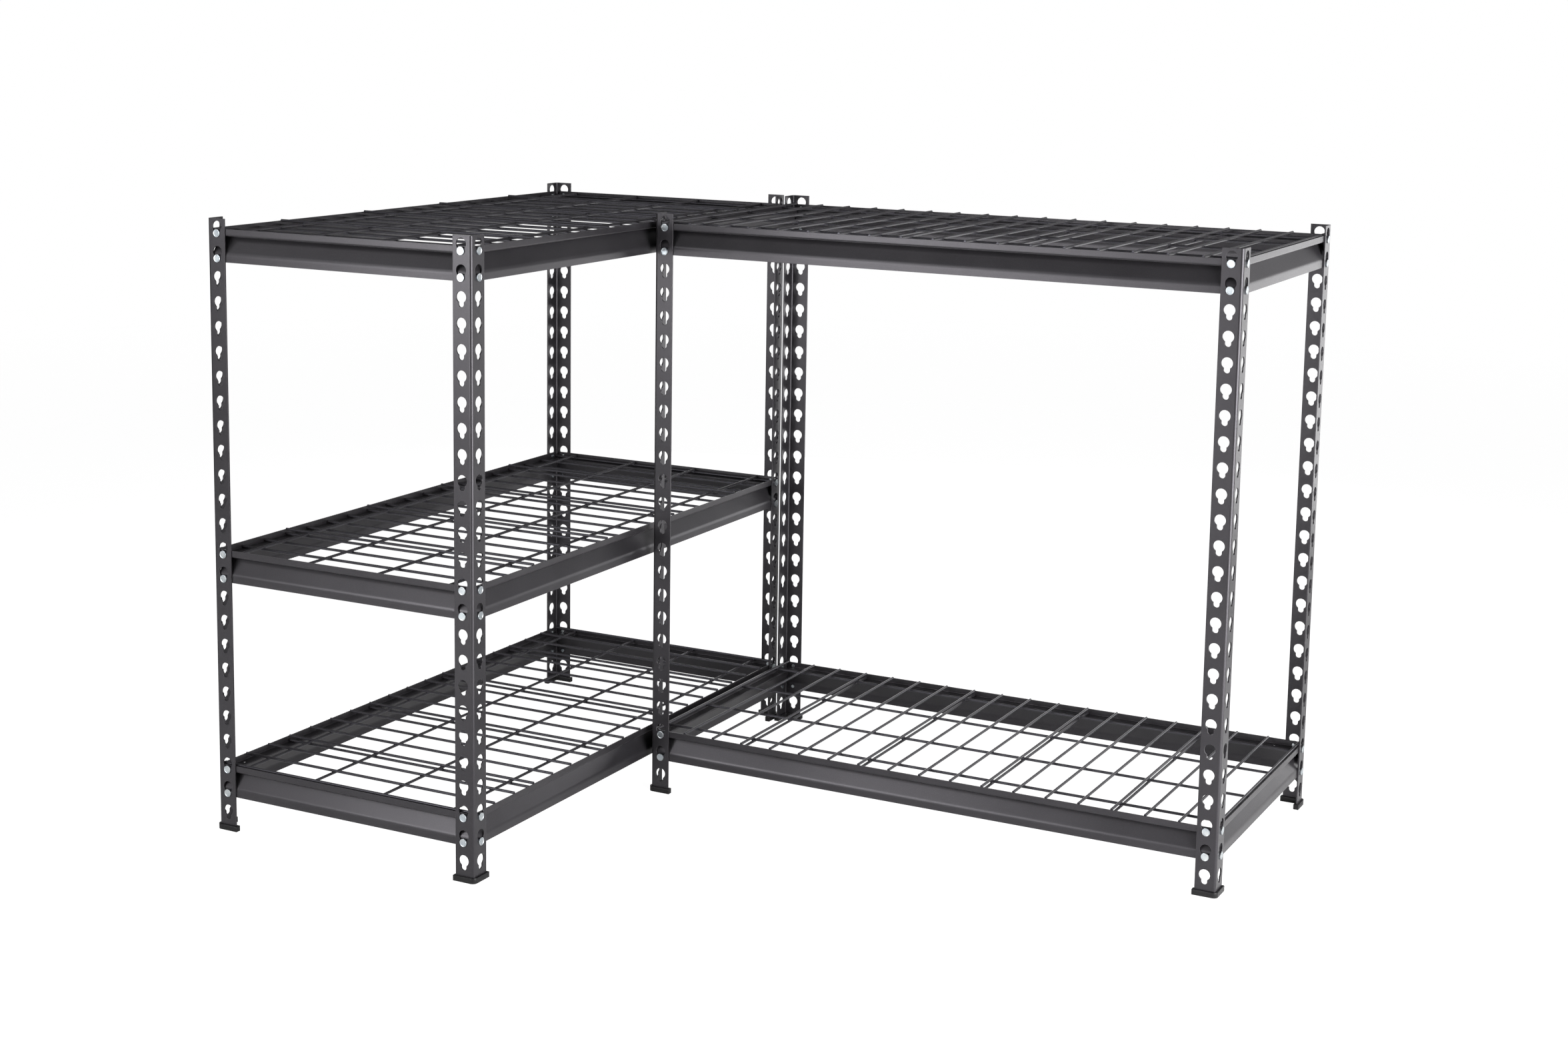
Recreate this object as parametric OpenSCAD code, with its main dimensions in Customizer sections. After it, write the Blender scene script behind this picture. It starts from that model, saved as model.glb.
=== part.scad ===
// Boltless steel shelving: two free-standing bays of the same parts, set at a right angle.
// The origin is on the floor, under the middle of the whole arrangement.
// +Z is up, the left bay runs front to back and the right bay runs left to right.

/* [Bays] */
// Length of a bay over its posts
bay_l = 915; // [600:5:1220]
// Depth of a bay over its posts
bay_d = 457; // [300:1:610]
// Gap between the left bay's side and the right bay's end
bay_gap = 10.6; // [9:0.1:60]
// How far the right bay's back stands behind the left bay's back
bay_step = 10; // [0:1:60]

/* [Posts] */
// Width of each flange of the angle post
flange_w = 30.6; // [28:0.1:40]
// Thickness of the post's sheet
post_t = 2; // [1.5:0.1:2.5]
// Outer radius of the post's bend
bend_r = 4; // [3:0.1:5]
// Keyholes in one flange
hole_n = 25; // [20:1:50]
// Distance from one keyhole to the next
pitch = 36.2; // [34:0.1:40]
// Distance of the keyholes' centre line from the outer corner
hole_x = 16.9; // [16:0.1:18]
// Radius of a keyhole's round entry
entry_r = 8.2; // [7.5:0.1:8.6]
// Radius of a keyhole's slot
slot_r = 4.4; // [4.2:0.1:5]
// Drop from the entry's centre to the slot's lower centre
slot_drop = 9.6; // [8:0.1:11]
// Distance from the post's top to the first entry's centre
first_hole = 11.5; // [10:0.1:14]
// Height of the last entry's centre over the floor
last_hole = 30.7; // [28:0.1:40]

/* [Feet] */
// Height of the plastic foot
foot_h = 8; // [6:0.5:10]
// Thickness of the foot's walls outside the post
foot_wall = 3; // [2:0.1:4]
// Thickness of the foot's sole under the post
foot_sole = 2.5; // [2:0.1:4]

/* [Beams] */
// Thickness of the beam's sheet
beam_t = 1.2; // [1:0.1:1.5]
// Height of the beam's top edge over its upper rivet
rivet_down = 6.4; // [6:0.1:7]
// Height of the lower rivet over the beam's bottom edge
rivet_up = 5.4; // [5:0.1:6]
// Height of the lip that stands round the deck
lip_h = 10.4; // [10:0.1:12]
// Depth from the beam's face to the inner edge of the ledge
ledge_d = 14; // [10:0.1:15]
// Height of the flat band along the lower edge
band_h = 8.6; // [8.2:0.1:14]
// Inner radius of the two sharp bends
sharp_r = 1.2; // [0.8:0.1:1.6]
// Outer radius of the soft bend over the lower band
soft_r = 13; // [6:0.5:14]
// Distance from the bay's outer corner to the beam's end
end_in = 8; // [7:0.5:9]
// Diameter of the small hole in the ledge near each end
ledge_hole_d = 4.5; // [3:0.1:5]
// Distance of the small ledge hole from the bay's outer corner
ledge_hole_x = 46; // [35:1:60]

/* [Rivets] */
// Diameter of the rivet's head
head_d = 11.4; // [10:0.1:13]
// Thickness of the rivet's head
head_t = 2; // [1.5:0.1:3]
// Diameter of the shank that sits in the keyhole's slot
shank_d = 8.4; // [7:0.1:8.4]
// Diameter of the tail inside the beam
tail_d = 5.4; // [4:0.1:5.4]
// Length of the tail inside the beam
tail_l = 2; // [1:0.1:2]

/* [Decks] */
// Diameter of the deck's wires
wire_d = 4; // [3:0.1:5]
// Distance from one cross wire to the next
cross_pitch = 50; // [40:1:60]
// Distance of the outer long wires from the bay's sides
long_in = 44.5; // [30:0.5:60]
// Long wires in a deck
long_n = 4; // [3:1:6]
// How far crossing wires sink into each other at a weld
weld = 0.4; // [0.2:0.1:0.6]
// Gap from the wires' ends to the beams' lips
deck_gap = 1; // [0.8:0.1:2]

/* [Shelves] */
// Keyhole, counted from the top, that carries the upper rivets of the top shelves
top_at = 1; // [1:1:3]
// Keyhole, counted from the top, that carries the upper rivets of the middle shelf
middle_at = 14; // [7:1:14]
// Keyholes below the one that carries the upper rivets of the low shelves
low_free = 2; // [2:1:3]

/* [Hidden] */
$fn = 48;
bay_h = first_hole + pitch * (hole_n - 1) + last_hole;
low_at = hole_n - low_free;
beam_h = rivet_down + pitch + rivet_up;
total_x = bay_d + bay_gap + bay_l;
total_y = bay_l + bay_step;
left_at = [-total_x / 2, -total_y / 2];
left_size = [bay_d, bay_l];
right_at = [left_at[0] + bay_d + bay_gap, total_y / 2 - bay_d];
right_size = [bay_l, bay_d];
foot_fit = 0.2;
rest_gap = 0.3;
mitre_gap = 1;
double_each = 4;
sheet_colour = "#4a4a4d";
zinc_colour = "#c8cccc";
wire_colour = "#424245";
foot_colour = "#1b1b1d";

// Height of the rivets that hang in one keyhole, and of what they carry
function rivet_z(at) = bay_h - first_hole - slot_drop - pitch * (at - 1);
function beam_top(at) = rivet_z(at) + rivet_down;
function ledge_top(at) = beam_top(at) - lip_h + beam_t;

// Points along an arc round c, from angle a0 to a1 in n steps
function arc(c, r, a0, a1, n) =
    [for (i = [0:n]) c + r * [cos(a0 + (a1 - a0) * i / n), sin(a0 + (a1 - a0) * i / n)]];

// Keyhole outline with its entry's centre at the origin
module keyhole() {
    circle(r = entry_r);
    translate([0, -slot_drop]) circle(r = slot_r);
    translate([-slot_r, -slot_drop]) square([2 * slot_r, slot_drop]);
}

// Angle outline with its outer corner at the origin, grown by g on every side
module angle_outline(g) {
    inner = post_t + g;
    inner_r = max(bend_r - inner, 0.4);
    difference() {
        union() {
            translate([bend_r, bend_r]) circle(r = bend_r + g);
            translate([bend_r, -g]) square([flange_w - bend_r + g, post_t + 2 * g]);
            translate([-g, bend_r]) square([post_t + 2 * g, flange_w - bend_r + g]);
        }
        translate([inner + inner_r, inner + inner_r]) circle(r = inner_r);
        translate([inner + inner_r, inner]) square(flange_w);
        translate([inner, inner + inner_r]) square(flange_w);
    }
}

// Flat part of a flange along +X, with its keyholes
module flange() {
    translate([0, post_t, 0])
        rotate([90, 0, 0])
            linear_extrude(height = post_t)
                difference() {
                    translate([bend_r, foot_sole]) square([flange_w - bend_r, bay_h - foot_sole]);
                    for (at = [1:hole_n])
                        translate([hole_x, bay_h - first_hole - pitch * (at - 1)]) keyhole();
                }
}

// Angle post with its outer corner at the origin and its flanges along +X and +Y
module post() {
    color(sheet_colour)
        union() {
            translate([0, 0, foot_sole])
                linear_extrude(height = bay_h - foot_sole)
                    intersection() {
                        angle_outline(0);
                        square(bend_r);
                    }
            flange();
            mirror([1, -1, 0]) flange();
        }
}

// Plastic cap under a post, set like the post
module foot() {
    color(foot_colour)
        difference() {
            linear_extrude(height = foot_h) angle_outline(foot_wall);
            translate([0, 0, foot_sole]) linear_extrude(height = foot_h) angle_outline(foot_fit);
        }
}

// Section of a beam as [depth, height]: its face lies on depth 0 and its top edge on height 0
module beam_section() {
    outer_r = sharp_r + beam_t;
    lip_c = [outer_r, outer_r - lip_h];
    ledge_c = [ledge_d - outer_r, -lip_h - sharp_r];
    band_c = [soft_r, band_h - beam_h];
    across = ledge_c - band_c;
    lean = atan2(across[0], across[1]) + asin((sharp_r + soft_r) / norm(across));
    polygon(concat(
        [[0, 0]],
        arc(lip_c, outer_r, 180, 270, 5),
        arc(ledge_c, sharp_r, 90, -lean, 6),
        arc(band_c, soft_r, 180 - lean, 180, 6),
        [[0, -beam_h], [beam_t, -beam_h]],
        arc(band_c, soft_r - beam_t, 180, 180 - lean, 6),
        arc(ledge_c, outer_r, -lean, 90, 6),
        arc(lip_c, sharp_r, 270, 180, 5),
        [[beam_t, 0]]
    ));
}

// What is cut from a beam at its end near the origin
module beam_end_cuts(top) {
    far = post_t + ledge_d + 3;
    // The ledge and web are mitred clear of the neighbouring beam
    translate([0, 0, top - beam_h - 1])
        linear_extrude(height = beam_h + 2)
            polygon([
                [end_in - 2, end_in - 2 - mitre_gap], [far + mitre_gap, far], [end_in - 2, far]
            ]);
    for (down = [rivet_down, rivet_down + pitch])
        translate([hole_x, 0, top - down])
            rotate([-90, 0, 0]) cylinder(d = tail_d + 0.1, h = post_t + beam_t + tail_l + 0.2);
    translate([ledge_hole_x, post_t + (ledge_d + beam_t) / 2, top - lip_h - 1])
        cylinder(d = ledge_hole_d, h = beam_t + 2, $fn = 24);
}

// Beam of a bay that is span long, with its outer corner at the origin, running along +X
module beam(span, at) {
    color(sheet_colour)
        difference() {
            translate([end_in, post_t, beam_top(at)])
                rotate([90, 0, 90])
                    linear_extrude(height = span - 2 * end_in) beam_section();
            beam_end_cuts(beam_top(at));
            translate([span, 0, 0]) mirror([1, 0, 0]) beam_end_cuts(beam_top(at));
        }
}

// Rivet in a keyhole: its axis is +Y and the post's outer face lies on Y = 0
module rivet() {
    rim = 0.5;
    end = post_t + beam_t + tail_l;
    rotate([-90, 0, 0])
        rotate_extrude()
            polygon([
                [0, -head_t], [head_d / 2 - 2 * rim, -head_t], [head_d / 2, -head_t + rim],
                [head_d / 2, 0], [shank_d / 2, 0], [shank_d / 2, post_t],
                [tail_d / 2, post_t], [tail_d / 2, end - rim], [tail_d / 2 - rim, end], [0, end]
            ]);
}

// Two rivets at each end of a beam, set like the beam
module beam_rivets(span, at) {
    for (x = [hole_x, span - hole_x])
        for (drop = [0, pitch])
            translate([x, 0, rivet_z(at) - drop]) rivet();
}

// One wire along +X with flat ends
module wire(length) {
    rotate([0, 90, 0]) cylinder(d = wire_d, h = length, $fn = 24);
}

// Welded wire deck with its long wires along +X. The full row of cross wires lies
// over the long wires, or under them when the deck is turned over.
module deck(at, turned) {
    side = post_t + beam_t + deck_gap;
    long_end = side + 0.6;
    long_step = (bay_d - 2 * long_in) / (long_n - 1);
    crosses = floor((bay_l / 2 - side - wire_d / 2) / cross_pitch);
    base = ledge_top(at) + rest_gap + wire_d / 2;
    step = wire_d - weld;
    color(wire_colour)
        union() {
            for (i = [0:long_n - 1])
                translate([long_end, long_in + i * long_step, base + step])
                    wire(bay_l - 2 * long_end);
            for (i = [-crosses:crosses])
                translate([bay_l / 2 + i * cross_pitch, side, base + (turned ? 0 : 2 * step)])
                    rotate([0, 0, 90]) wire(bay_d - 2 * side);
            for (i = [-crosses:crosses])
                if (abs(i) % double_each == double_each / 2)
                    translate([bay_l / 2 + i * cross_pitch, side, base + (turned ? 2 * step : 0)])
                        rotate([0, 0, 90]) wire(bay_d - 2 * side);
        }
}

// Sets a child made at an outer corner on one of a bay's four corners
module on_corner(at, size, right, back) {
    translate([at[0] + right * size[0], at[1] + back * size[1], 0])
        mirror([right, 0, 0])
            mirror([0, back, 0]) children();
}

// Sets a child that runs along +X with its face to -Y on one side of a bay
module on_side(at, size, side) {
    translate([at[0], at[1], 0]) {
        if (side == "front") children();
        if (side == "back") translate([0, size[1], 0]) mirror([0, 1, 0]) children();
        if (side == "left") mirror([1, -1, 0]) children();
        if (side == "right") translate([size[0], 0, 0]) rotate([0, 0, 90]) children();
    }
}

// The pieces of each bay
module left_post(right, back) {
    on_corner(left_at, left_size, right, back) post();
}

module right_post(right, back) {
    on_corner(right_at, right_size, right, back) post();
}

module left_foot(right, back) {
    on_corner(left_at, left_size, right, back) foot();
}

module right_foot(right, back) {
    on_corner(right_at, right_size, right, back) foot();
}

module left_beam(side, at) {
    span = side == "front" || side == "back" ? bay_d : bay_l;
    on_side(left_at, left_size, side) beam(span, at);
}

module right_beam(side, at) {
    span = side == "front" || side == "back" ? bay_l : bay_d;
    on_side(right_at, right_size, side) beam(span, at);
}

module left_rivets(at) {
    color(zinc_colour) {
        for (side = ["front", "back"])
            on_side(left_at, left_size, side) beam_rivets(bay_d, at);
        for (side = ["left", "right"])
            on_side(left_at, left_size, side) beam_rivets(bay_l, at);
    }
}

module right_rivets(at) {
    color(zinc_colour) {
        for (side = ["front", "back"])
            on_side(right_at, right_size, side) beam_rivets(bay_l, at);
        for (side = ["left", "right"])
            on_side(right_at, right_size, side) beam_rivets(bay_d, at);
    }
}

module left_deck(at, turned) {
    translate([left_at[0], left_at[1], 0]) mirror([1, -1, 0]) deck(at, turned);
}

module right_deck(at, turned) {
    translate([right_at[0], right_at[1], 0]) deck(at, turned);
}

left_post(0, 0);  // left_bay_post_front_left
left_post(1, 0);  // left_bay_post_front_right
left_post(0, 1);  // left_bay_post_back_left
left_post(1, 1);  // left_bay_post_back_right
left_foot(0, 0);  // left_bay_foot_front_left
left_foot(1, 0);  // left_bay_foot_front_right
left_foot(0, 1);  // left_bay_foot_back_left
left_foot(1, 1);  // left_bay_foot_back_right
right_post(0, 0);  // right_bay_post_front_left
right_post(1, 0);  // right_bay_post_front_right
right_post(0, 1);  // right_bay_post_back_left
right_post(1, 1);  // right_bay_post_back_right
right_foot(0, 0);  // right_bay_foot_front_left
right_foot(1, 0);  // right_bay_foot_front_right
right_foot(0, 1);  // right_bay_foot_back_left
right_foot(1, 1);  // right_bay_foot_back_right
left_beam("front", top_at);  // left_top_beam_front
left_beam("back", top_at);  // left_top_beam_back
left_beam("left", top_at);  // left_top_beam_left
left_beam("right", top_at);  // left_top_beam_right
left_rivets(top_at);  // left_top_rivets
left_deck(top_at, true);  // left_top_deck
left_beam("front", middle_at);  // left_middle_beam_front
left_beam("back", middle_at);  // left_middle_beam_back
left_beam("left", middle_at);  // left_middle_beam_left
left_beam("right", middle_at);  // left_middle_beam_right
left_rivets(middle_at);  // left_middle_rivets
left_deck(middle_at, true);  // left_middle_deck
left_beam("front", low_at);  // left_low_beam_front
left_beam("back", low_at);  // left_low_beam_back
left_beam("left", low_at);  // left_low_beam_left
left_beam("right", low_at);  // left_low_beam_right
left_rivets(low_at);  // left_low_rivets
left_deck(low_at, false);  // left_low_deck
right_beam("front", top_at);  // right_top_beam_front
right_beam("back", top_at);  // right_top_beam_back
right_beam("left", top_at);  // right_top_beam_left
right_beam("right", top_at);  // right_top_beam_right
right_rivets(top_at);  // right_top_rivets
right_deck(top_at, false);  // right_top_deck
right_beam("front", low_at);  // right_low_beam_front
right_beam("back", low_at);  // right_low_beam_back
right_beam("left", low_at);  // right_low_beam_left
right_beam("right", low_at);  // right_low_beam_right
right_rivets(low_at);  // right_low_rivets
right_deck(low_at, false);  // right_low_deck
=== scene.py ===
import math
import random

import bmesh
import bpy
from mathutils import Matrix, Vector


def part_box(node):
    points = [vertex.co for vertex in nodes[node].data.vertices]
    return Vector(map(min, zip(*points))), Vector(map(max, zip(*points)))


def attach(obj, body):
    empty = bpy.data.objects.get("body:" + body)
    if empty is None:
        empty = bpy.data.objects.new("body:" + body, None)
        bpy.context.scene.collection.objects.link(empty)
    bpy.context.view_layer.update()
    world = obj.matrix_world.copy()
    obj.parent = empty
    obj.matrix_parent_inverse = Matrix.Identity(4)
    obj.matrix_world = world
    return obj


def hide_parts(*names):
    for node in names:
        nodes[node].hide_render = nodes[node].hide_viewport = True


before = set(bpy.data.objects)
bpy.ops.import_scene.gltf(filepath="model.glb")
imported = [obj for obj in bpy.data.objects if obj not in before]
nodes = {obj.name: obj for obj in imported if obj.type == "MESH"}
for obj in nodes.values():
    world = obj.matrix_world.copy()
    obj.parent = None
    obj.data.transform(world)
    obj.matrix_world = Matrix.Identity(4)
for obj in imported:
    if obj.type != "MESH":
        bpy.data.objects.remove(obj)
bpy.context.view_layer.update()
print("frame loaded:", len(nodes), "nodes")

mm = 0.001  # the frame is in metres

# Parts of a noise's range that are stretched to the full range: only its middle, or most of it
noiseMiddle = (0.35, 0.65)
noiseMost = (0.3, 0.7)

facing = 0.9  # how squarely a face has to look up or down to count as a top or a bottom
foldDegrees = 35  # edges sharper than this are rounded
smoothDegrees = 40  # faces that meet at less than this are shaded as one surface

# Which bay each shelf hangs in, and whether its deck is turned over, with the full row of
# cross wires below the long ones
shelves = {
    "left_top": {"bay": "left", "turned": True},
    "left_middle": {"bay": "left", "turned": True},
    "left_low": {"bay": "left", "turned": False},
    "right_top": {"bay": "right", "turned": False},
    "right_low": {"bay": "right", "turned": False},
}


def linearColour(hexText):
    parts = [int(hexText[i:i + 2], 16) / 255 for i in (1, 3, 5)]
    return [p / 12.92 if p <= 0.04045 else ((p + 0.055) / 1.055) ** 2.4 for p in parts] + [1]


def addNode(tree, kind, settings=None, links=None):
    node = tree.nodes.new(kind)
    for key, value in (settings or {}).items():
        if isinstance(key, int) or key in node.inputs:
            node.inputs[key].default_value = value
        else:
            setattr(node, key, value)
    for key, source in (links or {}).items():
        tree.links.new(source, node.inputs[key])
    return node


def newMaterial(name):
    material = bpy.data.materials.new(name)
    material.use_nodes = True
    tree = material.node_tree
    tree.nodes.clear()
    shader = addNode(tree, "ShaderNodeBsdfPrincipled")
    addNode(tree, "ShaderNodeOutputMaterial", links={"Surface": shader.outputs[0]})
    place = addNode(tree, "ShaderNodeTexCoord").outputs["Object"]
    return material, tree, shader, place


def noise(tree, place, sizeMm, detail=2.0, roughness=0.5):
    settings = {"Scale": 1 / (sizeMm * mm), "Detail": detail, "Roughness": roughness}
    return addNode(tree, "ShaderNodeTexNoise", settings, {"Vector": place}).outputs["Fac"]


def ramp(tree, value, low, high, atLow, atHigh):
    settings = {"From Min": low, "From Max": high, "To Min": atLow, "To Max": atHigh}
    return addNode(tree, "ShaderNodeMapRange", settings, {"Value": value}).outputs["Result"]


def mixColours(tree, share, first, second):
    links, settings = {0: share}, {"data_type": "RGBA"}
    for index, colour in ((6, first), (7, second)):
        if isinstance(colour, str):
            settings[index] = linearColour(colour)
        else:
            links[index] = colour
    return addNode(tree, "ShaderNodeMix", settings, links).outputs[2]


def roundedEdge(tree, radiusMm):
    # normals that turn round a folded or cut edge, and how far they turn from the flat,
    # from 0 where the two agree to 1 where they are some 37 degrees apart
    soft = addNode(tree, "ShaderNodeBevel", {"samples": 4, "Radius": radiusMm * mm}).outputs[0]
    flat = addNode(tree, "ShaderNodeNewGeometry").outputs["Normal"]
    dot = addNode(tree, "ShaderNodeVectorMath", {"operation": "DOT_PRODUCT"}, {0: soft, 1: flat})
    return soft, ramp(tree, dot.outputs["Value"], 0.99, 0.8, 0, 1)


def multiply(tree, first, second):
    links, settings = {0: first}, {"operation": "MULTIPLY"}
    if isinstance(second, (int, float)):
        settings[1] = second
    else:
        links[1] = second
    return addNode(tree, "ShaderNodeMath", settings, links).outputs[0]


def surfaceBump(tree, height, strength, depthMm, normal=None):
    settings = {"Strength": strength, "Distance": depthMm * mm}
    links = {"Height": height}
    if normal:
        links["Normal"] = normal
    return addNode(tree, "ShaderNodeBump", settings, links).outputs[0]


def finishMaterial(tree, shader, colour, rough, bump):
    tree.links.new(colour, shader.inputs["Base Color"])
    tree.links.new(rough, shader.inputs["Roughness"])
    tree.links.new(bump, shader.inputs["Normal"])


# Polyester powder coat on rolled steel sheet: a satin charcoal skin with a fine grit in it
# that sparkles a little. Along folded and punched edges the colour is lightened, partly for the
# thinner coat there and partly as a painted highlight where the edges catch the light.
powderCoat = {
    "body": "#19181a",
    "grain": "#312f32",
    "grainOver": (0.5, 0.72),
    "grainShare": 0.6,
    "pale": "#1f1e20",
    "edge": "#4a484a",
    # edge colour: thinner coat plus a painted highlight along folded and punched edges
    "edgeWearAndHighlightShare": 0.6,
    "edgeMm": 0.7,
    "gloss": "#fbf7ff",
    "gritMm": 1.1,  # the real grit is about 0.2 mm, drawn coarser so that it shows
    "gritDepthMm": 0.035,
    "gritStrength": 0.6,
    "cloudMm": 70,
    "roughness": (0.28, 0.38),
    "refraction": 1.5,
}


def powderCoatedSteel(name, look):
    material, tree, shader, place = newMaterial(name)
    grit = noise(tree, place, look["gritMm"], 3, 0.6)
    cloud = noise(tree, place, look["cloudMm"], 2)
    soft, edge = roundedEdge(tree, look["edgeMm"])
    colour = mixColours(tree, ramp(tree, cloud, *noiseMiddle, 0, 1), look["body"], look["pale"])
    grains = ramp(tree, grit, *look["grainOver"], 0, look["grainShare"])
    colour = mixColours(tree, grains, colour, look["grain"])
    # painted highlight: the colour is lightened towards the edge colour where the rounded-edge
    # normals turn, partly for the thinner coat there
    colour = mixColours(tree, multiply(tree, edge, look["edgeWearAndHighlightShare"]), colour, look["edge"])
    smooth, dull = look["roughness"]
    rough = ramp(tree, grit, *noiseMost, dull, smooth)
    bump = surfaceBump(tree, grit, look["gritStrength"], look["gritDepthMm"], soft)
    finishMaterial(tree, shader, colour, rough, bump)
    shader.inputs["IOR"].default_value = look["refraction"]
    shader.inputs["Specular Tint"].default_value = linearColour(look["gloss"])
    return material


# The same powder on drawn round wire: it flows smoother there, so the wire shines more,
# with light patches where the coat is thin.
wireCoat = {
    "body": "#242325",
    "grain": "#353336",
    "grainOver": (0.5, 0.72),
    "grainShare": 0.6,
    "pale": "#2a292b",
    # edge colour on the wire: a painted highlight along rounded and cut edges, partly a thinner
    # coat
    "edge": "#353336",
    "edgeWearAndHighlightShare": 0.6,
    "edgeMm": 0.4,
    "gloss": "#f0eeff",
    "gritMm": 1.6,
    "gritDepthMm": 0.02,
    "gritStrength": 0.6,
    "cloudMm": 45,
    "roughness": (0.26, 0.36),
    "refraction": 1.5,
}

# Bright zinc plate on cold-headed steel rivets: a pale metal with a faint blue tint,
# finely scuffed, so each head catches the light as one bright disc.
zinc = {
    "body": "#c6cacb",
    "tint": "#b0b8be",
    "scuffMm": 0.8,
    "scuffDepthMm": 0.01,
    "scuffStrength": 0.2,
    "patchMm": 9,
    "roughness": (0.25, 0.36),
}


def zincPlate(name, look):
    material, tree, shader, place = newMaterial(name)
    scuff = noise(tree, place, look["scuffMm"], 4, 0.65)
    patch = noise(tree, place, look["patchMm"], 2)
    colour = mixColours(tree, ramp(tree, patch, *noiseMiddle, 0, 1), look["body"], look["tint"])
    rough = ramp(tree, scuff, *noiseMost, *look["roughness"])
    bump = surfaceBump(tree, scuff, look["scuffStrength"], look["scuffDepthMm"])
    finishMaterial(tree, shader, colour, rough, bump)
    shader.inputs["Metallic"].default_value = 1
    return material


# Injection-moulded black polypropylene: near black, satin, with a fine spark-eroded grain
# and a little grey dust where it meets the floor.
polypropylene = {
    "body": "#0f0e10",
    "dust": "#232221",
    "dustMm": 6,
    "dustHighMm": 5,
    "dustShare": 0.6,
    "grainMm": 0.7,
    "grainDepthMm": 0.05,
    "grainStrength": 0.4,
    "edgeMm": 0.5,
    "roughness": (0.34, 0.48),
    "refraction": 1.49,
    "shine": 0.3,
}


def mouldedPlastic(name, look):
    material, tree, shader, place = newMaterial(name)
    grain = noise(tree, place, look["grainMm"], 3)
    dust = noise(tree, place, look["dustMm"], 3)
    height = addNode(tree, "ShaderNodeSeparateXYZ", links={0: place}).outputs["Z"]
    low = ramp(tree, height, 0, look["dustHighMm"] * mm, look["dustShare"], 0)
    colour = mixColours(tree, multiply(tree, low, dust), look["body"], look["dust"])
    rough = ramp(tree, grain, *noiseMost, *look["roughness"])
    soft = roundedEdge(tree, look["edgeMm"])[0]
    bump = surfaceBump(tree, grain, look["grainStrength"], look["grainDepthMm"], soft)
    finishMaterial(tree, shader, colour, rough, bump)
    shader.inputs["IOR"].default_value = look["refraction"]
    shader.inputs["Specular IOR Level"].default_value = look["shine"]
    return material


steelCoat = powderCoatedSteel("powder_coated_steel_sheet", powderCoat)
coatedWire = powderCoatedSteel("powder_coated_wire", wireCoat)
zincCoat = zincPlate("zinc_plated_rivet_steel", zinc)
footPlastic = mouldedPlastic("moulded_black_polypropylene", polypropylene)


def paint(piece, material):
    for slot in piece.material_slots:
        slot.material = material
    if not piece.material_slots:
        piece.data.materials.append(material)


for name, piece in nodes.items():
    if "_deck" in name:
        paint(piece, coatedWire)
    elif "_rivets" in name:
        paint(piece, zincCoat)
    elif "_foot_" in name:
        paint(piece, footPlastic)
    else:
        paint(piece, steelCoat)
print("materials set")


# Pieces. Where the bays and shelves stand is read from the frame.
def bayBox(bay):
    corners = [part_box(name) for name in nodes if name.startswith(bay + "_bay_post_")]
    low = Vector([min(c[0][i] for c in corners) for i in range(3)])
    high = Vector([max(c[1][i] for c in corners) for i in range(3)])
    return low, high


def startPiece():
    if bpy.context.object and bpy.context.object.mode != "OBJECT":
        bpy.ops.object.mode_set(mode="OBJECT")
    bpy.ops.object.select_all(action="DESELECT")


def editPiece(piece):
    bpy.context.view_layer.objects.active = piece
    bpy.ops.object.mode_set(mode="EDIT")
    bpy.ops.mesh.select_all(action="DESELECT")


def pickFaces(piece, test):
    bpy.ops.mesh.select_mode(type="FACE")
    mesh = bmesh.from_edit_mesh(piece.data)
    for face in mesh.faces:
        face.select_set(bool(test(face.calc_center_median(), face.normal)))
    mesh.select_flush_mode()
    bmesh.update_edit_mesh(piece.data)


def pickEdges(piece, test):
    bpy.ops.mesh.select_mode(type="EDGE")
    mesh = bmesh.from_edit_mesh(piece.data)
    for edge in mesh.edges:
        a, b = edge.verts[0].co, edge.verts[1].co
        edge.select_set(bool(test((a + b) / 2, b - a)))
    mesh.select_flush_mode()
    bmesh.update_edit_mesh(piece.data)


def roundEdges(piece, widthMm, segments):
    bpy.ops.object.mode_set(mode="OBJECT")
    rounding = piece.modifiers.new("rounding", "BEVEL")
    rounding.width = widthMm * mm
    rounding.segments = segments
    rounding.limit_method = "ANGLE"
    rounding.angle_limit = math.radians(foldDegrees)
    bpy.ops.object.modifier_apply(modifier=rounding.name)
    bpy.ops.object.select_all(action="DESELECT")
    piece.select_set(True)
    bpy.ops.object.shade_smooth_by_angle(angle=math.radians(smoothDegrees))


def setCopies(pattern, name, places, material, body):
    # one piece made of copies of a pattern, each moved by its matrix
    startPiece()
    copies = []
    for place in places:
        copy = pattern.copy()
        copy.data = pattern.data.copy()
        copy.data.transform(place)
        bpy.context.scene.collection.objects.link(copy)
        copy.select_set(True)
        copies.append(copy)
    whole = copies[0]
    bpy.context.view_layer.objects.active = whole
    if len(copies) > 1:
        bpy.ops.object.join()
    whole.name = name
    whole.data.name = name
    paint(whole, material)
    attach(whole, body)
    return whole


# Rivet: a cold-headed stud with a flat disc head, its face slightly sunk inside a rim. Its
# shank goes through the post's sheet, and a thinner tail through the beam's.
rivet = {
    "sides": 24,
    "headMm": 11.4,
    "thickMm": 2.0,
    "rimMm": 0.9,
    "slopeMm": 0.25,
    "dishMm": 0.22,
    "flatMm": 0.3,
    "shankMm": 8.4,
    "shankLongMm": 2.0,
    "tailMm": 5.4,
    "tailLongMm": 3.2,
    "tailTaperMm": 1.0,
    "roundMm": 0.4,
    "roundSteps": 2,
    "inMm": 16.9,
    "downMm": (6.4, 42.6),
    "leanDegrees": 1.3,
}


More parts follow.
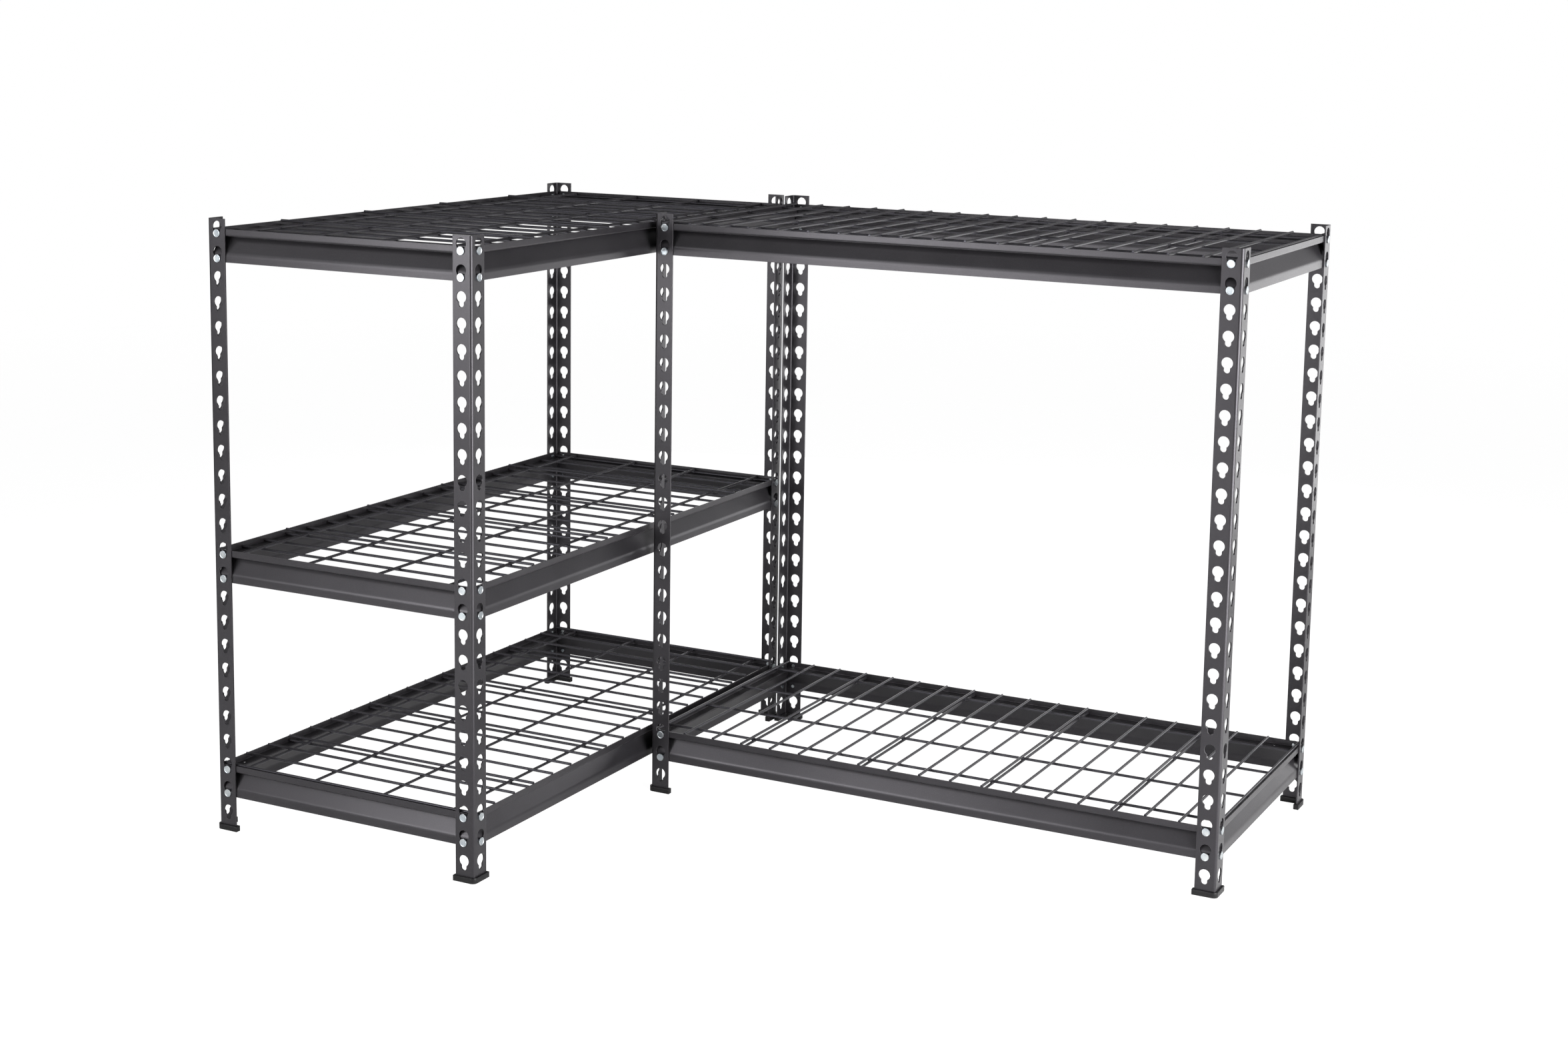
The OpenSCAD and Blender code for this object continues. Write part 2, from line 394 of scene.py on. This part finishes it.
def rivetPattern(look):
    startPiece()
    thick = look["thickMm"] * mm
    bpy.ops.mesh.primitive_cylinder_add(
        vertices=look["sides"], radius=look["headMm"] / 2 * mm, depth=thick,
        location=(0, 0, thick / 2),
    )
    piece = bpy.context.object
    bpy.ops.object.transform_apply(location=True)
    editPiece(piece)
    pickFaces(piece, lambda at, normal: normal.z > facing)
    bpy.ops.mesh.inset(thickness=look["rimMm"] * mm)
    bpy.ops.mesh.inset(thickness=look["slopeMm"] * mm, depth=-look["dishMm"] * mm)
    bpy.ops.mesh.inset(thickness=look["flatMm"] * mm)
    pickFaces(piece, lambda at, normal: normal.z < -facing)
    bpy.ops.mesh.inset(thickness=(look["headMm"] - look["shankMm"]) / 2 * mm)
    steps = (
        (look["shankLongMm"], look["shankMm"] - look["tailMm"]),
        (look["tailLongMm"], look["tailTaperMm"]),
    )
    for length, narrower in steps:
        bpy.ops.mesh.extrude_region_move(
            TRANSFORM_OT_translate={"value": (0, 0, -length * mm)}
        )
        bpy.ops.mesh.inset(thickness=narrower / 2 * mm)
    roundEdges(piece, look["roundMm"], look["roundSteps"])
    return piece


def rivetPlaces(bay, top, look, draw):
    low, high = bayBox(bay)
    inside = look["inMm"] * mm
    lean = math.radians(look["leanDegrees"])
    spots = []
    for x in (low.x + inside, high.x - inside):
        spots += [(Vector((x, low.y, 0)), (0, -1, 0)), (Vector((x, high.y, 0)), (0, 1, 0))]
    for y in (low.y + inside, high.y - inside):
        spots += [(Vector((low.x, y, 0)), (-1, 0, 0)), (Vector((high.x, y, 0)), (1, 0, 0))]
    places = []
    for spot, outwards in spots:
        for down in look["downMm"]:
            spot.z = top - down * mm
            turn = Vector(outwards).to_track_quat("Z", "Y").to_matrix().to_4x4()
            tilt = Matrix.Rotation(draw.uniform(-lean, lean), 4, "X")
            tilt @= Matrix.Rotation(draw.uniform(-lean, lean), 4, "Y")
            spin = Matrix.Rotation(draw.uniform(0, math.tau), 4, "Z")
            places.append(Matrix.Translation(spot) @ turn @ tilt @ spin)
    return places


draw = random.Random(7)
pattern = rivetPattern(rivet)
for shelf, kind in shelves.items():
    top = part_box(shelf + "_beam_front")[1].z
    places = rivetPlaces(kind["bay"], top, rivet, draw)
    piece = setCopies(
        pattern, shelf + "_stud_rivets", places, zincCoat, "frame"
    )
    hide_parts(shelf + "_rivets")
bpy.data.objects.remove(pattern)
print("rivets made")


# Weld: the squeezed-out bead of a resistance weld where two wires cross
weld = {
    "sides": 8,
    "rings": 5,
    "acrossMm": 5.2,
    "highMm": 1.9,
    "flashMm": 0.35,
    "middleMm": 0.1,  # edges no farther than this from its mid-height are the squeezed rim
    "crossMm": 50,
    "crossWires": 19,
    "longWires": 4,
    "longInMm": 44.5,
    "layerMm": 3.6,
    "doubleEach": 4,
}


def weldPattern(look):
    startPiece()
    bpy.ops.mesh.primitive_uv_sphere_add(
        segments=look["sides"], ring_count=look["rings"] + 1, radius=look["acrossMm"] / 2 * mm
    )
    piece = bpy.context.object
    editPiece(piece)
    bpy.ops.mesh.select_all(action="SELECT")
    bpy.ops.transform.resize(value=(1, 1, look["highMm"] / look["acrossMm"]))
    near = look["middleMm"] * mm
    pickEdges(piece, lambda at, along: abs(at.z) < near and abs(along.z) < near)
    grow = 1 + 2 * look["flashMm"] / look["acrossMm"]
    bpy.ops.transform.resize(value=(grow, grow, 1))
    bpy.ops.object.mode_set(mode="OBJECT")
    bpy.ops.object.select_all(action="DESELECT")
    piece.select_set(True)
    bpy.ops.object.shade_smooth()
    return piece


def weldPlaces(shelf, kind, look):
    low, high = bayBox(kind["bay"])
    deckLow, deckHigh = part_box(shelf + "_deck")
    middle = (low + high) / 2
    level = (deckLow.z + deckHigh.z) / 2
    long = 0 if high.x - low.x > high.y - low.y else 1
    side = 1 - long
    inside = look["longInMm"] * mm
    step = (high[side] - low[side] - 2 * inside) / (look["longWires"] - 1)
    half = look["crossWires"] // 2
    up = -1 if kind["turned"] else 1
    places = []
    for cross in range(-half, half + 1):
        doubled = abs(cross) % look["doubleEach"] == look["doubleEach"] // 2
        for layer in (up, -up) if doubled else (up,):
            for wire in range(look["longWires"]):
                at = Vector((0, 0, level + layer * look["layerMm"] / 2 * mm))
                at[long] = middle[long] + cross * look["crossMm"] * mm
                at[side] = low[side] + inside + wire * step
                places.append(Matrix.Translation(at))
    return places


pattern = weldPattern(weld)
for shelf, kind in shelves.items():
    setCopies(
        pattern, shelf + "_deck_welds", weldPlaces(shelf, kind, weld), coatedWire,
        shelf + "_wire_deck",
    )
bpy.data.objects.remove(pattern)
print("welds made")


# Foot: a moulded boot under each post, open on top, with softened edges
boot = {
    "wallMm": 3.0,
    "armMm": 33.6,
    "thickMm": 8.0,
    "highMm": 8.0,
    "soleMm": 2.5,
    "pocketWallMm": 2.8,
    "cornerMm": 7.0,
    "insideMm": 1.6,
    "cornerSteps": 6,
    "soleRimMm": 1.2,
    "soleDishMm": 0.4,
    "roundMm": 0.6,
    "roundSteps": 2,
}


def bootPattern(look):
    # its outer corner is at the post's corner and its arms run along +X and +Y
    startPiece()
    wall, thick = look["wallMm"] * mm, look["thickMm"] * mm
    bpy.ops.mesh.primitive_plane_add(
        size=thick, location=(thick / 2 - wall, thick / 2 - wall, 0)
    )
    piece = bpy.context.object
    bpy.ops.object.transform_apply(location=True)
    editPiece(piece)
    near = 0.01 * mm
    reach = look["armMm"] * mm - (thick - wall)
    for axis in (0, 1):
        pickEdges(
            piece,
            lambda at, along: abs(at[axis] - (thick - wall)) < near and abs(along[axis]) < near
            and at[1 - axis] < thick - wall,
        )
        move = [0, 0, 0]
        move[axis] = reach
        bpy.ops.mesh.extrude_region_move(TRANSFORM_OT_translate={"value": move})
    bpy.ops.mesh.select_all(action="SELECT")
    bpy.ops.mesh.extrude_region_move(
        TRANSFORM_OT_translate={"value": (0, 0, look["highMm"] * mm)}
    )
    bpy.ops.mesh.select_all(action="SELECT")
    bpy.ops.mesh.normals_make_consistent(inside=False)
    for corner, widthMm in ((-wall, look["cornerMm"]), (thick - wall, look["insideMm"])):
        pickEdges(
            piece,
            lambda at, along: abs(along.z) > near
            and (at.xy - Vector((corner, corner))).length < near,
        )
        bpy.ops.mesh.bevel(offset=widthMm * mm, segments=look["cornerSteps"], affect="EDGES")
    pickFaces(piece, lambda at, normal: normal.z > facing)
    bpy.ops.mesh.inset(thickness=look["pocketWallMm"] * mm)
    bpy.ops.mesh.extrude_region_move(
        TRANSFORM_OT_translate={"value": (0, 0, (look["soleMm"] - look["highMm"]) * mm)}
    )
    pickFaces(piece, lambda at, normal: normal.z < -facing)
    dish = look["soleDishMm"] * mm
    bpy.ops.mesh.inset(thickness=look["soleRimMm"] * mm)
    bpy.ops.mesh.inset(thickness=dish, depth=-dish)
    roundEdges(piece, look["roundMm"], look["roundSteps"])
    return piece


pattern = bootPattern(boot)
corners = {  # quarter turns that point the arms into the bay, and the corner
    "front_left": (0, 0, 0),
    "front_right": (1, 1, 0),
    "back_right": (2, 1, 1),
    "back_left": (3, 0, 1),
}
for bay in ("left", "right"):
    low, high = bayBox(bay)
    for corner, (turns, right, back) in corners.items():
        at = Vector((high.x if right else low.x, high.y if back else low.y, 0))
        place = Matrix.Translation(at) @ Matrix.Rotation(turns * math.pi / 2, 4, "Z")
        piece = setCopies(
            pattern, bay + "_bay_boot_" + corner, [place], footPlastic, "frame"
        )
        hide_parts(bay + "_bay_foot_" + corner)
bpy.data.objects.remove(pattern)
print("feet made")


# Floor, backdrop and light
studio = {
    "floorHex": "#f4f4f3",
    "floorSize": 60,
    "floorRough": 0.9,
    "fleckMm": 400,
    "floorEnds": (2.6, 6.0),  # how far out the floor fades into the backdrop
    "floorWhite": 0.95,  # the floor's own white for the camera, to which light adds a share
    "floorShade": 0.2,
    "fill": 0.2,  # strength of the backdrop's light on the object, in front and behind
    "fillBehind": 0.45,
    "fillTurn": (0, 0.6),  # from which to which Y of a ray the one turns into the other
    "fillTop": (0.25, 0.35),  # between which Z of a ray it drops to the share above
    "shareAbove": 0.25,
    "aim": (-0.15, -0.15, 0.6),
    "lights": {  # where each stands, its width and its power in watts
        "front_low": ((-0.64, -2.69, 0.48), 0.8, 13.5),
        "front_left": ((-1.45, -2.40, 0.89), 0.8, 17.8),
        "front_middle": ((-1.04, -2.59, 0.89), 0.8, 8.5),
        "front_high": ((-1.17, -2.34, 1.72), 0.8, 9.1),
        "left_high": ((-1.82, -1.82, 1.85), 0.8, 3.0),
        "top_front": ((-0.83, -2.02, 2.42), 1.2, 5.0),
        "right_side": ((2.41, -0.60, 0.89), 2.0, 165),
        "back_left": ((-1.20, 2.70, 0.35), 1.2, 12),
        "back_right": ((1.10, 2.70, 0.35), 1.2, 12),
    },
}


def whiteFloor():
    # white paper: the camera sees it bright and fading into the backdrop
    bpy.ops.mesh.primitive_plane_add(size=studio["floorSize"], location=(0, 0, 0))
    floor = bpy.context.object
    floor.name = "floor"
    material, tree, shader, place = newMaterial("white_studio_paper")
    fleck = noise(tree, place, studio["fleckMm"], 2)
    colour = mixColours(tree, ramp(tree, fleck, *noiseMost, 0, 1), studio["floorHex"], "#ffffff")
    tree.links.new(colour, shader.inputs["Base Color"])
    shader.inputs["Roughness"].default_value = studio["floorRough"]
    ray = addNode(tree, "ShaderNodeLightPath").outputs["Is Camera Ray"]
    shade = addNode(tree, "ShaderNodeBsdfDiffuse")
    shade.inputs["Color"].default_value = [studio["floorShade"]] * 3 + [1]
    glow = addNode(tree, "ShaderNodeEmission", {"Strength": studio["floorWhite"]})
    bright = addNode(tree, "ShaderNodeAddShader", links={0: shade.outputs[0], 1: glow.outputs[0]})
    out = addNode(tree, "ShaderNodeVectorMath", {"operation": "LENGTH"}, {0: place})
    fade = ramp(tree, out.outputs["Value"], *studio["floorEnds"], 0, 1)
    clear = addNode(tree, "ShaderNodeBsdfTransparent")
    seen = addNode(
        tree, "ShaderNodeMixShader", links={0: fade, 1: bright.outputs[0], 2: clear.outputs[0]}
    )
    both = addNode(
        tree, "ShaderNodeMixShader", links={0: ray, 1: shader.outputs[0], 2: seen.outputs[0]}
    )
    target = next(node for node in tree.nodes if node.type == "OUTPUT_MATERIAL")
    tree.links.new(both.outputs[0], target.inputs["Surface"])
    floor.data.materials.append(material)


def softBox(name, at, size, power):
    light = bpy.data.lights.new(name, "AREA")
    light.shape = "SQUARE"
    light.size = size
    light.energy = power
    holder = bpy.data.objects.new(name, light)
    bpy.context.scene.collection.objects.link(holder)
    holder.location = at
    holder.rotation_mode = "QUATERNION"
    holder.rotation_quaternion = (Vector(studio["aim"]) - Vector(at)).to_track_quat("-Z", "Y")
    holder.visible_camera = False


def studioWorld():
    # a plain white backdrop for the camera, and for the object a soft fill from low down
    # that is stronger from behind, where the backdrop stands
    world = bpy.data.worlds.new("studio")
    bpy.context.scene.world = world
    world.use_nodes = True
    tree = world.node_tree
    tree.nodes.clear()
    seen = addNode(tree, "ShaderNodeBackground", {"Color": (1, 1, 1, 1), "Strength": 1.0})
    look = addNode(tree, "ShaderNodeTexCoord").outputs["Generated"]
    way = addNode(tree, "ShaderNodeSeparateXYZ", links={0: look}).outputs
    side = ramp(tree, way["Y"], *studio["fillTurn"], studio["fill"], studio["fillBehind"])
    share = ramp(tree, way["Z"], *studio["fillTop"], 1, studio["shareAbove"])
    fill = addNode(
        tree, "ShaderNodeBackground", {"Color": (1, 1, 1, 1)},
        {"Strength": multiply(tree, side, share)},
    )
    ray = addNode(tree, "ShaderNodeLightPath").outputs["Is Camera Ray"]
    mixed = addNode(
        tree, "ShaderNodeMixShader", links={0: ray, 1: fill.outputs[0], 2: seen.outputs[0]}
    )
    addNode(tree, "ShaderNodeOutputWorld", links={"Surface": mixed.outputs[0]})


whiteFloor()
for name, (at, size, power) in studio["lights"].items():
    softBox(name, at, size, power)
studioWorld()
bpy.context.scene.view_settings.view_transform = "Standard"

# Camera: to the right and a little above the top shelves; angles in degrees, lens in mm
camera = {
    "at": (1.5743, -3.0421, 1.2097),
    "azimuth": 27.319,
    "down": 8.549,
    "roll": 0.916,
    "lens": 53.53,
    "sensor": 36,
    "shift": -0.0995,
    "sees": 200,
}
lens = bpy.data.cameras.new("camera")
lens.sensor_width = camera["sensor"]
lens.lens = camera["lens"]
lens.shift_y = camera["shift"]
lens.clip_end = camera["sees"]
holder = bpy.data.objects.new("camera", lens)
bpy.context.scene.collection.objects.link(holder)
holder.matrix_world = (
    Matrix.Translation(camera["at"])
    @ Matrix.Rotation(math.radians(camera["azimuth"]), 4, "Z")
    @ Matrix.Rotation(math.radians(90 - camera["down"]), 4, "X")
    @ Matrix.Rotation(math.radians(camera["roll"]), 4, "Z")
)
bpy.context.scene.camera = holder

print("done")
